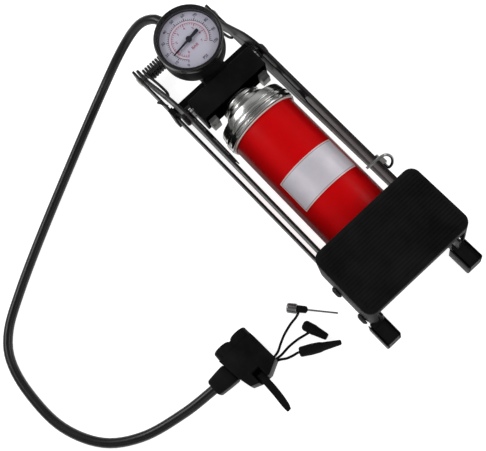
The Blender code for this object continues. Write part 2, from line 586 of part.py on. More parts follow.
for name, (place, aim, profile, look) in ADAPTERS.items():
    facing = PUMP @ Matrix.Translation(metres(place)) @ Matrix.Rotation(math.atan2(aim[1], aim[0]), 4, "Z")
    add_mesh(name, turned(profile, 16), base, facing, look)
for name, route in TETHER_ROUTES.items():
    tube(name, smooth_curve(route, TETHER_STEP), TETHER_RADIUS, base, PUMP, PLASTIC, 1)
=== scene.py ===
import json
import math

import bmesh
import bpy
from mathutils import Matrix, Vector


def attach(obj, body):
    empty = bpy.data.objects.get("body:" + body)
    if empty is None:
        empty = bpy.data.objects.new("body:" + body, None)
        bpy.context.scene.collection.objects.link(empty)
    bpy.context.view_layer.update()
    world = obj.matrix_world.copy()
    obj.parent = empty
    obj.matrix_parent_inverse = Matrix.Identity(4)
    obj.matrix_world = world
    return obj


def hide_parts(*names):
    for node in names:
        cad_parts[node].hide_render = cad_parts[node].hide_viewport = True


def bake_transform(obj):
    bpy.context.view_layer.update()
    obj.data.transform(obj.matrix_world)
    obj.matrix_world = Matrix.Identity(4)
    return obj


MM = 0.001
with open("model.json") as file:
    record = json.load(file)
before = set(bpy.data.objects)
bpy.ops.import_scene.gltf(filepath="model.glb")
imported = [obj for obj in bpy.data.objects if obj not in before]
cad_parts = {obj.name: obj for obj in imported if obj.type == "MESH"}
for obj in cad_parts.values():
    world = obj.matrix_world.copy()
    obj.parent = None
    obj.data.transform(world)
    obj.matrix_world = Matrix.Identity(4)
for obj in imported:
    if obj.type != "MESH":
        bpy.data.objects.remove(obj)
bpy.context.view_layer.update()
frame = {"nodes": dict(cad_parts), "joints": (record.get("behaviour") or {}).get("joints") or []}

# ------------------------------------------------------------------ spaces
# PUMP: millimetres from the floor below the hinge axle, X towards the pedal, Z up.
# BARREL: X along the barrel from the tilt pins, Z away from the floor.
# GAUGE: the origin on top of the gauge's bezel, Z out of the dial.
joints = {joint["name"]: joint for joint in frame["joints"]}
slide = Vector(joints["barrel_slide"]["axis"])
ROD_END = 188.4
along = -slide
above = Vector((-along.z, 0, along.x))
PUMP = Matrix.Translation((joints["arm_fold"]["pos_m"][0], 0, 0))
barrel_origin = Vector(joints["rod_tilt"]["pos_m"]) - along * ROD_END * MM
BARREL = Matrix.Translation(barrel_origin) @ Matrix((
    (along.x, 0, above.x, 0), (0, 1, 0, 0), (along.z, 0, above.z, 0), (0, 0, 0, 1)))
HINGE_HEIGHT = joints["arm_fold"]["pos_m"][2] / MM
GAUGE_ALONG = -33.6
GAUGE_FACE = 41.2
GAUGE = BARREL @ Matrix.Translation(Vector((GAUGE_ALONG, 0, GAUGE_FACE)) * MM)


# ------------------------------------------------------------------ materials
NOISE_ROUGHNESS = 0.6
PATCH_SCALE = 45.0
BUMP_DISTANCE = 0.0001


def new_material(name):
    mat = bpy.data.materials.new(name)
    mat.use_nodes = True
    return mat, mat.node_tree.nodes, mat.node_tree.links, mat.node_tree.nodes["Principled BSDF"]


def math_node(nodes, links, operation, first, second):
    node = nodes.new("ShaderNodeMath")
    node.operation = operation
    for socket, value in zip(node.inputs, (first, second)):
        if isinstance(value, (int, float)):
            socket.default_value = value
        else:
            links.new(value, socket)
    return node.outputs[0]


def mix_colour(nodes, links, factor, first, second):
    node = nodes.new("ShaderNodeMix")
    node.data_type = "RGBA"
    for socket, value in zip((node.inputs[0], node.inputs[6], node.inputs[7]), (factor, first, second)):
        if isinstance(value, tuple):
            socket.default_value = (*value, 1)
        elif isinstance(value, (int, float)):
            socket.default_value = value
        else:
            links.new(value, socket)
    return node.outputs[2]


def spread_range(nodes, links, value, low, high, to_low, to_high):
    node = nodes.new("ShaderNodeMapRange")
    links.new(value, node.inputs["Value"])
    for socket, number in zip(("From Min", "From Max", "To Min", "To Max"), (low, high, to_low, to_high)):
        node.inputs[socket].default_value = number
    return node.outputs[0]


def noise(nodes, links, vector, scale, detail):
    node = nodes.new("ShaderNodeTexNoise")
    node.inputs["Scale"].default_value = scale
    node.inputs["Detail"].default_value = detail
    node.inputs["Roughness"].default_value = NOISE_ROUGHNESS
    links.new(vector, node.inputs["Vector"])
    return node.outputs["Fac"]


def add_bump(nodes, links, shader, height, strength):
    """Fine relief from a height between 0 and 1."""
    relief = nodes.new("ShaderNodeBump")
    relief.inputs["Strength"].default_value = strength
    relief.inputs["Distance"].default_value = BUMP_DISTANCE
    links.new(height, relief.inputs["Height"])
    links.new(relief.outputs["Normal"], shader.inputs["Normal"])


def surface(name, colour, worn, roughness, metallic, grain, bump, spread, stretch=(1, 1, 1), specular=0.5,
            edge_tint=1.0):
    """A procedural finish: two tones in soft patches, fine grain in the bump, and uneven gloss."""
    mat, nodes, links, shader = new_material(name)
    coordinates = nodes.new("ShaderNodeTexCoord").outputs["Object"]
    mapping = nodes.new("ShaderNodeMapping")
    mapping.inputs["Scale"].default_value = stretch
    links.new(coordinates, mapping.inputs["Vector"])
    vector = mapping.outputs["Vector"]
    broad = noise(nodes, links, vector, PATCH_SCALE, 5)
    fine = noise(nodes, links, vector, grain, 8)
    wear = spread_range(nodes, links, broad, 0.35, 0.7, 0, 1)
    links.new(mix_colour(nodes, links, wear, colour, worn), shader.inputs["Base Color"])
    both = math_node(nodes, links, "ADD", math_node(nodes, links, "MULTIPLY", fine, 0.6),
                     math_node(nodes, links, "MULTIPLY", broad, 0.4))
    links.new(spread_range(nodes, links, both, 0.3, 0.7, max(0.02, roughness - spread), roughness + spread),
              shader.inputs["Roughness"])
    add_bump(nodes, links, shader, fine, bump)
    shader.inputs["Metallic"].default_value = metallic
    shader.inputs["Specular IOR Level"].default_value = specular
    shader.inputs["Specular Tint"].default_value = (edge_tint, edge_tint, edge_tint, 1)
    return mat


MATERIALS = {
    "black_chrome": surface("dark_plate", (0.017, 0.015, 0.015), (0.040, 0.037, 0.037), 0.34, 0.5, 900, 0.1,
                            0.08, stretch=(0.15, 1, 1), specular=0.12, edge_tint=0.3),
    "black_paint": surface("black_powder_coat", (0.005, 0.005, 0.005), (0.010, 0.010, 0.011), 0.42, 0.0,
                           1500, 0.35, 0.1, specular=0.3),
    "chrome": surface("chrome_plate", (0.50, 0.50, 0.49), (0.42, 0.42, 0.41), 0.20, 1.0, 900, 0.02, 0.02),
    "steel": surface("zinc_steel", (0.52, 0.52, 0.50), (0.38, 0.38, 0.37), 0.32, 1.0, 1200, 0.2, 0.1),
    "wire": surface("wire_steel", (0.30, 0.30, 0.30), (0.22, 0.22, 0.22), 0.28, 1.0, 1200, 0.1, 0.08),
    "rubber": surface("black_rubber", (0.006, 0.006, 0.006), (0.012, 0.012, 0.011), 0.62, 0.0, 2200, 0.5, 0.12,
                      specular=0.25),
    "hose": surface("hose_rubber", (0.003, 0.003, 0.003), (0.007, 0.007, 0.007), 0.32, 0.0, 1500, 0.12, 0.08,
                    specular=0.3),
    "plastic": surface("black_plastic", (0.006, 0.006, 0.006), (0.012, 0.012, 0.012), 0.36, 0.0, 1600, 0.25,
                       0.1, specular=0.02, edge_tint=0.6),
    "red_enamel": surface("red_enamel", (0.60, 0.002, 0.004), (0.52, 0.002, 0.003), 0.30, 0.0, 350, 0.03, 0.05,
                          specular=0.05),
    "casting": surface("grey_casting", (0.16, 0.16, 0.16), (0.25, 0.25, 0.24), 0.45, 0.6, 1100, 0.5, 0.12),
    "ivory": surface("ivory_ring", (0.66, 0.58, 0.54), (0.56, 0.48, 0.44), 0.4, 0.0, 900, 0.1, 0.08),
    "dial": surface("dial_face", (0.56, 0.54, 0.64), (0.51, 0.49, 0.60), 0.45, 0.0, 700, 0.05, 0.06,
                    specular=0.3),
    "ink": surface("dial_ink", (0.004, 0.004, 0.018), (0.010, 0.010, 0.03), 0.5, 0.0, 900, 0.1, 0.06,
                   specular=0.1),
    "red_ink": surface("dial_red_ink", (0.30, 0.02, 0.05), (0.38, 0.04, 0.08), 0.5, 0.0, 900, 0.1, 0.06,
                       specular=0.1),
    "tread": surface("tread_rubber", (0.006, 0.006, 0.006), (0.011, 0.011, 0.011), 0.48, 0.0, 1300, 0.5, 0.12,
                     specular=0.02, edge_tint=0.6),
    "bezel": surface("bezel_black", (0.006, 0.005, 0.006), (0.012, 0.011, 0.013), 0.28, 0.0, 1200, 0.12, 0.08,
                     specular=0.35),
    "pink_band": surface("dial_pink_band", (0.60, 0.50, 0.60), (0.62, 0.53, 0.62), 0.5, 0.0, 900, 0.05, 0.06),
    "needle": surface("needle_paint", (0.003, 0.003, 0.010), (0.006, 0.006, 0.014), 0.4, 0.0, 900, 0.1, 0.06,
                      specular=0.1),
    "seal": surface("seal_rubber", (0.012, 0.011, 0.011), (0.03, 0.028, 0.027), 0.6, 0.0, 1500, 0.3, 0.1),
}


def darken_sides(mat, reach, shade_colour, share):
    """Mixes a painted shade, a darker colour, into a finish towards the two sides of the pump, where the barrel
    curves away from the light.
    """
    nodes, links = mat.node_tree.nodes, mat.node_tree.links
    shader = nodes["Principled BSDF"]
    finish = shader.inputs["Base Color"].links[0].from_socket
    split = nodes.new("ShaderNodeSeparateXYZ")
    links.new(nodes.new("ShaderNodeTexCoord").outputs["Object"], split.inputs[0])
    across = math_node(nodes, links, "ABSOLUTE", split.outputs["Y"], 0)
    factor = spread_range(nodes, links, across, reach[0] * MM, reach[1] * MM, 0, share)
    links.new(mix_colour(nodes, links, factor, finish, shade_colour), shader.inputs["Base Color"])


# Painted shade: the red enamel is darkened towards the barrel's two sides, in place of the shade where it turns
# away from the light.
darken_sides(MATERIALS["red_enamel"], reach=(17, 29), shade_colour=(0.10, 0.001, 0.001), share=0.7)


# The label film's millimetres
LABEL_WIDTH, LABEL_HEIGHT = 28.3, 58.0
LABEL_RIM, LABEL_LINE_INSET, LABEL_LINE_HALF = 0.85, 1.15, 0.22


def label_material():
    """Silver film with a fine dark line inside a pinkish rim, from the label's own UV."""
    mat, nodes, links, shader = new_material("label_film")
    uv = nodes.new("ShaderNodeUVMap")
    uv.uv_map = "label"
    split = nodes.new("ShaderNodeSeparateXYZ")
    links.new(uv.outputs["UV"], split.inputs[0])
    insets = []
    for output, size in (("X", LABEL_WIDTH), ("Y", LABEL_HEIGHT)):
        centred = math_node(nodes, links, "SUBTRACT", split.outputs[output], 0.5)
        from_middle = math_node(nodes, links, "ABSOLUTE", centred, 0)
        inset = math_node(nodes, links, "SUBTRACT", 0.5, from_middle)
        insets.append(math_node(nodes, links, "MULTIPLY", inset, size))
    edge = math_node(nodes, links, "MINIMUM", *insets)
    from_line = math_node(nodes, links, "SUBTRACT", edge, LABEL_LINE_INSET)
    from_line = math_node(nodes, links, "ABSOLUTE", from_line, 0)
    line = math_node(nodes, links, "LESS_THAN", from_line, LABEL_LINE_HALF)
    rim = math_node(nodes, links, "LESS_THAN", edge, LABEL_RIM)
    coordinates = nodes.new("ShaderNodeTexCoord").outputs["Object"]
    cloud = noise(nodes, links, coordinates, 60, 4)
    grain = noise(nodes, links, coordinates, 1500, 8)
    film = mix_colour(nodes, links, spread_range(nodes, links, cloud, 0.35, 0.65, 0, 1),
                      (0.62, 0.585, 0.65), (0.70, 0.66, 0.71))
    film = mix_colour(nodes, links, rim, film, (0.78, 0.58, 0.56))
    film = mix_colour(nodes, links, line, film, (0.24, 0.22, 0.26))
    links.new(film, shader.inputs["Base Color"])
    links.new(spread_range(nodes, links, grain, 0.3, 0.7, 0.28, 0.4), shader.inputs["Roughness"])
    add_bump(nodes, links, shader, grain, 0.08)
    shader.inputs["Metallic"].default_value = 0.25
    return mat


def lens_material():
    """Clear plastic with a faint haze."""
    mat, nodes, links, shader = new_material("clear_lens")
    coordinates = nodes.new("ShaderNodeTexCoord").outputs["Object"]
    haze = noise(nodes, links, coordinates, 120, 5)
    links.new(mix_colour(nodes, links, haze, (0.20, 0.20, 0.22), (0.28, 0.28, 0.30)),
              shader.inputs["Base Color"])
    links.new(spread_range(nodes, links, haze, 0.3, 0.7, 0.02, 0.08), shader.inputs["Roughness"])
    shader.inputs["Alpha"].default_value = 0.04
    shader.inputs["IOR"].default_value = 1.25
    return mat


MATERIALS["label"] = label_material()
MATERIALS["lens"] = lens_material()


# ------------------------------------------------------------------ shapes
MOST_EASED, LEAST_EASED = 0.45, 0.02  # the share of an edge that a corner may take, and the least radius in mm
CURVE_SAMPLES = 24
TIP_WIDTH, TIP_LENGTH = 0.82, 0.12  # a round bar's domed end, as shares of its radius
BEVEL_ANGLE, SHARP_ANGLE = 38, 35


def box(low, high):
    bm = bmesh.new()
    size = [b - a for a, b in zip(low, high)]
    centre = [(a + b) / 2 for a, b in zip(low, high)]
    bmesh.ops.create_cube(bm, size=1, matrix=Matrix.Translation(centre) @ Matrix.Diagonal((*size, 1)))
    return bm


def slab(outline, low, high, across="Y"):
    """A closed outline pushed out along Y (outline in X, Z) or along Z (outline in X, Y)."""
    bm = bmesh.new()
    if across == "Y":
        verts = [bm.verts.new((x, low, z)) for x, z in outline]
        push = (0, high - low, 0)
    else:
        verts = [bm.verts.new((x, y, low)) for x, y in outline]
        push = (0, 0, high - low)
    face = bm.faces.new(verts)
    made = bmesh.ops.extrude_face_region(bm, geom=[face])["geom"]
    bmesh.ops.translate(bm, verts=[v for v in made if isinstance(v, bmesh.types.BMVert)], vec=push)
    return bm


def turned(profile, sides, axis="X", centre=(0, 0, 0), closed=False):
    """A profile of (distance, radius) spun about an axis. A closed profile makes a ring."""
    bm = bmesh.new()
    turn = {"X": Matrix.Identity(3), "Y": Matrix.Rotation(math.pi / 2, 3, "Z"),
            "Z": Matrix.Rotation(-math.pi / 2, 3, "Y")}[axis]
    shift = Vector(centre)
    rings = []
    for distance, radius in profile:
        count = 1 if radius == 0 else sides
        angles = [2 * math.pi * i / sides for i in range(count)]
        places = [Vector((distance, radius * math.cos(a), radius * math.sin(a))) for a in angles]
        rings.append([bm.verts.new(turn @ place + shift) for place in places])
    pairs = list(zip(rings, rings[1:]))
    if closed:
        pairs.append((rings[-1], rings[0]))
    for first, second in pairs:
        for i in range(sides):
            j = (i + 1) % sides
            corners = [first[i % len(first)], first[j % len(first)], second[j % len(second)],
                       second[i % len(second)]]
            bm.faces.new(list(dict.fromkeys(corners)))
    return bm


def rounded_profile(profile, radius, steps=3):
    """The profile with its corners eased, so that edges catch the light."""
    points = [Vector(p) for p in profile]
    eased = [tuple(points[0])]
    for before, corner, after in zip(points, points[1:], points[2:]):
        first, second = before - corner, after - corner
        reach = min(radius, first.length * MOST_EASED, second.length * MOST_EASED)
        if corner.y == 0 or reach < LEAST_EASED:
            eased.append(tuple(corner))
            continue
        start, end = corner + first.normalized() * reach, corner + second.normalized() * reach
        for i in range(steps + 1):
            t = i / steps
            eased.append(tuple((1 - t) ** 2 * start + 2 * t * (1 - t) * corner + t ** 2 * end))
    eased.append(tuple(points[-1]))
    return eased


def arc(cx, cy, radius, start, end, steps):
    angles = [math.radians(start + (end - start) * i / steps) for i in range(steps + 1)]
    return [(cx + radius * math.cos(a), cy + radius * math.sin(a)) for a in angles]


def rounded(half_x, half_y, radius, steps=6, centre=(0, 0)):
    points = []
    for sx, sy, start in ((1, 1, 0), (-1, 1, 90), (-1, -1, 180), (1, -1, 270)):
        points += arc(centre[0] + sx * (half_x - radius), centre[1] + sy * (half_y - radius), radius,
                      start, start + 90, steps)
    return points


def smooth_curve(route, step):
    """Evenly spaced points on a Catmull-Rom curve through the route."""
    knots = [Vector(p) for p in route]
    ends = [2 * knots[0] - knots[1], *knots, 2 * knots[-1] - knots[-2]]
    dense = []
    for p0, p1, p2, p3 in zip(ends, ends[1:], ends[2:], ends[3:]):
        for i in range(CURVE_SAMPLES):
            t = i / CURVE_SAMPLES
            dense.append(0.5 * (2 * p1 + (p2 - p0) * t + (2 * p0 - 5 * p1 + 4 * p2 - p3) * t ** 2
                                + (3 * p1 - p0 - 3 * p2 + p3) * t ** 3))
    dense.append(knots[-1])
    total = sum((b - a).length for a, b in zip(dense, dense[1:]))
    count = max(3, round(total / step))
    spacing = total / count
    points, travelled, wanted = [dense[0]], 0.0, spacing
    for a, b in zip(dense, dense[1:]):
        length = (b - a).length
        while travelled + length >= wanted and len(points) < count:
            points.append(a.lerp(b, (wanted - travelled) / length))
            wanted += spacing
        travelled += length
    points.append(dense[-1])
    return points


def tube(points, radius, sides):
    """A round bar along the points, its rings carried round bends without twist and its ends domed."""
    bm = bmesh.new()
    points = [Vector(p) for p in points]
    tangents = [(b - a).normalized() for a, b in zip(points, points[1:])]
    tangents = [tangents[0]] + [(a + b).normalized() for a, b in zip(tangents, tangents[1:])] + [tangents[-1]]
    side = tangents[0].orthogonal().normalized()
    rings = []

    def ring(centre, tangent, reach):
        cross = tangent.cross(side).normalized()
        return [bm.verts.new(centre + reach * (math.cos(a) * side + math.sin(a) * cross))
                for a in (2 * math.pi * i / sides for i in range(sides))]

    for index, (point, tangent) in enumerate(zip(points, tangents)):
        side = (side - tangent * side.dot(tangent)).normalized()
        reach = radius
        if index == 0:
            rings.append(ring(point, tangent, reach * TIP_WIDTH))
            point = point + tangent * reach * TIP_LENGTH
        if index == len(points) - 1:
            rings.append(ring(point - tangent * reach * TIP_LENGTH, tangent, reach))
            reach *= TIP_WIDTH
        rings.append(ring(point, tangent, reach))
    for first, second in zip(rings, rings[1:]):
        for i in range(sides):
            j = (i + 1) % sides
            bm.faces.new((first[i], first[j], second[j], second[i]))
    bm.faces.new(rings[0][::-1])
    bm.faces.new(rings[-1])
    return bm


def add_object(name, bm, space):
    """An object from millimetre geometry in a space."""
    bmesh.ops.recalc_face_normals(bm, faces=bm.faces)
    bmesh.ops.scale(bm, vec=(MM, MM, MM), verts=bm.verts)
    bmesh.ops.transform(bm, matrix=space, verts=bm.verts)
    mesh = bpy.data.meshes.new(name)
    bm.to_mesh(mesh)
    bm.free()
    obj = bpy.data.objects.new(name, mesh)
    bpy.context.scene.collection.objects.link(obj)
    return obj


def put(name, bm, space, body, look, replaced=(), bevel=0.0, segments=3, cutters=()):
    """Makes a piece and sets it to ride on a body. A piece given no body is left unattached."""
    obj = add_object(name, bm, space)
    obj.data.materials.append(MATERIALS[look])
    if cutters:
        cut(obj, cutters)
    if bevel:
        mod = obj.modifiers.new("Bevel", "BEVEL")
        mod.width = bevel * MM
        mod.segments = segments
        mod.limit_method = "ANGLE"
        mod.angle_limit = math.radians(BEVEL_ANGLE)
        mod.harden_normals = False
        apply_modifiers(obj)
    obj.data.shade_smooth()
    obj.data.set_sharp_from_angle(angle=math.radians(SHARP_ANGLE))
    if body:
        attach(obj, body)
    if replaced:
        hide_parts(*replaced)
    return obj


def apply_modifiers(obj):
    bpy.context.view_layer.update()
    graph = bpy.context.evaluated_depsgraph_get()
    made = bpy.data.meshes.new_from_object(obj.evaluated_get(graph))
    obj.modifiers.clear()
    obj.data = made


def cut(obj, cutters):
    """Booleans with (geometry, space, operation) helpers, which are removed afterwards."""
    helpers = []
    for bm, space, operation in cutters:
        helper = add_object("helper", bm, space)
        helpers.append(helper)
        mod = obj.modifiers.new("Boolean", "BOOLEAN")
        mod.operation = operation
        mod.object = helper
        mod.solver = "EXACT"
    apply_modifiers(obj)
    for helper in helpers:
        bpy.data.objects.remove(helper, do_unlink=True)


def sided(name, side):
    return name + ("_left" if side < 0 else "_right")


def span(side, near, far):
    return sorted((side * near, side * far))


def drill(x, z, radius, low, high):
    """A cutter for a hole across the pump."""
    hole = ((low - 1, 0), (low - 1, radius), (high + 1, radius), (high + 1, 0))
    return turned(hole, 32, "Y", (x, 0, z)), PUMP, "DIFFERENCE"


# ------------------------------------------------------------------ camera
LENS_MM, SENSOR_MM = 68.54, 36
CAMERA_PLACE = (0.22731, -0.09679, 0.69645)
CAMERA_DEGREES = (14.922, 10.037, 47.962)
camera = bpy.data.objects.new("camera", bpy.data.cameras.new("camera"))
camera.data.lens = LENS_MM
camera.data.sensor_width = SENSOR_MM
camera.location = CAMERA_PLACE
camera.rotation_euler = [math.radians(a) for a in CAMERA_DEGREES]
bpy.context.scene.collection.objects.link(camera)
bpy.context.scene.camera = camera
bpy.context.scene.view_settings.view_transform = "Standard"

# ------------------------------------------------------------------ hose
HOSE_RADIUS = 3.9
HOSE_ROUTE = (
    (8.0, 0.0, 59.4), (-6.5, -2.6, 59.8), (-19.0, -14.0, 50.0), (-24.5, -36.0, 30.0),
    (-17.8, -74.0, 10.0), (7.3, -130.1, 4.3), (38.5, -189.7, 4.3), (62.5, -231.7, 4.3),
    (80.0, -256.5, 4.3), (100.0, -269.5, 4.3), (130.0, -274.0, 4.3), (167.5, -270.5, 4.3),
    (199.0, -254.0, 4.3), (217.5, -227.0, 5.0), (226.5, -192.0, 8.0), (229.5, -164.2, 11.0),
    (229.7, -160.6, 11.2),
)
hose_line = smooth_curve(HOSE_ROUTE, 5.0)
hose = put("hose_tube", tube(hose_line, HOSE_RADIUS, 24), PUMP, None, "hose", ("hose",))
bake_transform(hose)

# ------------------------------------------------------------------ base frame
RAIL_INNER, RAIL_THICK, RAIL_RADIUS, RAIL_TOP = 40.0, 2.0, 10.5, 20.5
TONGUE_TOP, TONGUE_END = 15.0, 284.0
RAIL_GAP = 0.3
PIN_HOLE, ARM_AXLE_HOLE, BOLT_HOLE = 3.3, 3.4, 2.8
FOOT_MIDDLE, FOOT_TOP = 41.2, 18
GROOVE_OUT, GROOVE_HALF = 5.6, 0.5


def rail_outline(grow=0.0):
    radius, top = RAIL_RADIUS + grow, RAIL_TOP + grow
    top_angle = 180 - math.degrees(math.asin((top - HINGE_HEIGHT) / radius))
    return arc(0, HINGE_HEIGHT, radius, top_angle, 270, 28) + [
        (TONGUE_END + grow, HINGE_HEIGHT - radius), (TONGUE_END + grow, TONGUE_TOP + grow),
        (266, TONGUE_TOP + grow), (256, top)]


for side in (-1, 1):
    low, high = span(side, RAIL_INNER, RAIL_INNER + RAIL_THICK)
    put(sided("rail", side), slab(rail_outline(), low, high), PUMP, "base", "black_chrome",
        (sided("base_rail", side),), bevel=0.45, cutters=[drill(0, HINGE_HEIGHT, PIN_HOLE, low, high)])
    middle = side * FOOT_MIDDLE
    foot = slab(rounded(10.2, 7.0, 1.2, 4, (285.2, middle)), 0, FOOT_TOP, "Z")
    collar = box((268.6, middle - 3.2, 1.5), (278, middle + 3.2, 16.8))
    pocket = slab(rail_outline(RAIL_GAP), low - RAIL_GAP, high + RAIL_GAP)
    recess = box((279.5, middle - 4.4, 17.2), (300, middle + 4.4, 20))
    shapes = [(collar, PUMP, "UNION"), (pocket, PUMP, "DIFFERENCE"), (recess, PUMP, "DIFFERENCE")]
    for groove in (middle - GROOVE_OUT, middle + GROOVE_OUT):
        shapes.append((box((274, groove - GROOVE_HALF, 3), (297, groove + GROOVE_HALF, 19)), PUMP,
                       "DIFFERENCE"))
    put(sided("rubber_foot", side), foot, PUMP, "base", "plastic", (sided("foot", side),), bevel=0.5,
        cutters=shapes)

# The solids that stay as CAD made them
KEPT = {
    "rear_cross_bar": "plastic", "front_cross_plate": "black_chrome", "rod_clevis": "steel", "rod_pin": "steel",
    "hinge_axle": "steel", "latch_clip": "steel", "arm_doubler_left": "black_chrome",
    "arm_doubler_right": "black_chrome", "tilt_pin_left": "black_chrome", "tilt_pin_right": "black_chrome",
    "tilt_bush_left": "chrome", "tilt_bush_right": "chrome", "pedal_plate": "steel", "rod_eye": "steel",
    "piston": "plastic", "piston_seal": "seal", "piston_rod": "chrome", "chuck_seal_near": "seal",
    "chuck_seal_far": "seal", "outlet_barb": "steel",
}
for name, look in KEPT.items():
    node = frame["nodes"][name]
    if node.material_slots:
        for entry in node.material_slots:
            entry.material = MATERIALS[look]
    else:
        node.data.materials.append(MATERIALS[look])

# ------------------------------------------------------------------ folding arms
ARM_INNER, ARM_THICK, ARM_END_RADIUS = 36.8, 2.0, 9.0
ARM_TOP = ((6, 22.9), (14, 27.4), (24, 35.6), (36, 45.0), (50, 56.0), (60, 61.6), (68, 64.6), (76, 66.0),
           (84, 66.2), (112, 63.8), (223, 54.9), (281, 50.3))
ARM_BOTTOM = ((281, 28.8), (223, 33.2), (112, 42.4), (86, 44.0), (72, 42.2), (60, 38.5), (50, 35.0),
              (42, 31.0), (34, 26.0), (24, 18.5), (14, 10.5), (6, 6.2))
BOLT_PLACES = (("rear", 246.0, 44.0), ("front", 272.0, 42.0))
PIN_ABOVE_AXIS = 4.4
tilt_pin = barrel_origin + above * PIN_ABOVE_AXIS * MM
PIN_X, PIN_Z = tilt_pin.x / MM - PUMP.translation.x / MM, tilt_pin.z / MM
arm_outline = []
for edge in (ARM_TOP, ARM_BOTTOM):
    arm_outline += [(p.x, p.z) for p in smooth_curve([(x, 0, z) for x, z in edge], 2.5)]
arm_outline += arc(0, HINGE_HEIGHT, ARM_END_RADIUS, 290, 70, 28)


for side in (-1, 1):
    low, high = span(side, ARM_INNER, ARM_INNER + ARM_THICK)
    holes = [drill(0, HINGE_HEIGHT, ARM_AXLE_HOLE, low, high), drill(PIN_X, PIN_Z, PIN_HOLE, low, high)]
    holes += [drill(x, z, BOLT_HOLE, low, high) for _, x, z in BOLT_PLACES]
    put(sided("fold_arm", side), slab(arm_outline, low, high), PUMP, "arms", "black_chrome",
        (sided("arm", side),), bevel=0.5, cutters=holes)

# ------------------------------------------------------------------ pedal
PEDAL_REAR, PEDAL_FRONT, PEDAL_HALF, PEDAL_TOP = 222.4, 280.8, 48.0, 78.0
PEDAL_MIDDLE = (PEDAL_REAR + PEDAL_FRONT) / 2
PEDAL_BOTTOM, PEDAL_CORNER, PEDAL_SHOULDER, PEDAL_FOOT_EASE = 40.0, 7.5, 2.2, 0.6
RIB_PITCH, RIB_MARGIN, RIB_WIDTH, RIB_HEIGHT = 2.6, 3.6, 0.8, 0.7
grooves = bmesh.new()
count = int((PEDAL_FRONT - PEDAL_REAR - 2 * RIB_MARGIN) / RIB_PITCH)
for i in range(count + 1):
    x = PEDAL_MIDDLE + (i - count / 2) * RIB_PITCH
    reach = PEDAL_HALF - RIB_MARGIN - (1.5 if i in (0, count) else 0)
    bmesh.ops.create_cube(grooves, size=1, matrix=Matrix.Translation((x, 0, PEDAL_TOP)) @ Matrix.Diagonal(
        (RIB_WIDTH, 2 * reach, RIB_HEIGHT, 1)))
inside = box((210, -41.4, 30), (290, 41.4, 68.3))
pedal_holes = [(inside, PUMP, "DIFFERENCE"), (grooves, PUMP, "DIFFERENCE")]
pedal_holes += [drill(x, z, BOLT_HOLE, -60, 60) for _, x, z in BOLT_PLACES]


def pedal_shell():
    """The tread block with a soft shoulder all round its top."""
    bm = bmesh.new()
    half_length = (PEDAL_FRONT - PEDAL_REAR) / 2
    springing = PEDAL_TOP - PEDAL_SHOULDER
    levels = [(PEDAL_BOTTOM, PEDAL_FOOT_EASE), (PEDAL_BOTTOM + PEDAL_FOOT_EASE, 0.0), (springing, 0.0)]
    levels += [(springing + PEDAL_SHOULDER * math.sin(a), PEDAL_SHOULDER * (1 - math.cos(a))) for a in
               (math.radians(d) for d in range(15, 91, 15))]
    loops = []
    for z, inset in levels:
        outline = rounded(half_length - inset, PEDAL_HALF - inset, PEDAL_CORNER - inset, 10,
                          (PEDAL_MIDDLE, 0))
        loops.append([bm.verts.new((x, y, z)) for x, y in outline])
    for lower, upper in zip(loops, loops[1:]):
        for i in range(len(lower)):
            j = (i + 1) % len(lower)
            bm.faces.new((lower[i], lower[j], upper[j], upper[i]))
    bm.faces.new(loops[0][::-1])
    bm.faces.new(loops[-1])
    return bm


put("pedal_tread_block", pedal_shell(), PUMP, "arms", "tread", ("pedal_cover",), bevel=0.3,
    segments=2, cutters=pedal_holes)
bolt_profile = rounded_profile(((36.4, 0), (36.4, 2.5), (48.3, 2.5), (48.3, 4.6), (49.5, 4.6), (50.8, 3.0),
                                (50.8, 1.4), (50.0, 1.2), (50.0, 0)), 0.4)
for side in (-1, 1):
    for place, x, z in BOLT_PLACES:
        bolt = turned([(side * d, r) for d, r in bolt_profile], 36, "Y", (x, 0, z))
        put(sided("tread_bolt_" + place, side), bolt, PUMP, "arms", "black_chrome",
            (sided("pedal_bolt_" + place, side),))

# ------------------------------------------------------------------ springs
COIL_HALF, COIL_RADIUS, COIL_WIRE, COIL_TURNS, COIL_STEPS = 34.5, 5.3, 1.15, 25, 20
coil = []
for i in range(COIL_TURNS * COIL_STEPS + 1):
    turn = 2 * math.pi * i / COIL_STEPS - math.pi / 2
    y = -COIL_HALF + 2 * COIL_HALF * i / (COIL_TURNS * COIL_STEPS)
    coil.append((-COIL_RADIUS * math.cos(turn), y, HINGE_HEIGHT - COIL_RADIUS * math.sin(turn)))
left_leg = [(34, -35.2, 27.5), (30.5, -33.6, 26.4), (22, -33.2, 23.4), (12, -33.6, 20.9), (5, -34.3, 19.6)]
left_leg = smooth_curve([*left_leg, (0, -COIL_HALF, HINGE_HEIGHT + COIL_RADIUS)], 2.0)[:-1]
right_leg = [Vector((p.x, -p.y, p.z)) for p in reversed(left_leg)]
put("return_spring", tube([*left_leg, *coil, *right_leg], COIL_WIRE, 12), PUMP, "arms", "black_paint",
    ("torsion_spring",))
for side in (-1, 1):
    hook = smooth_curve([(26.0, side * 43.6, 15.5), (29.5, side * 43.6, 22.2), (33.5, side * 41.8, 22.6),
                         (37.5, side * 40.5, 22.2)], 1.2)
    put(sided("hook_wire", side), tube(hook, COIL_WIRE, 12), PUMP, "base", "black_paint",
        (sided("spring_hook", side),))

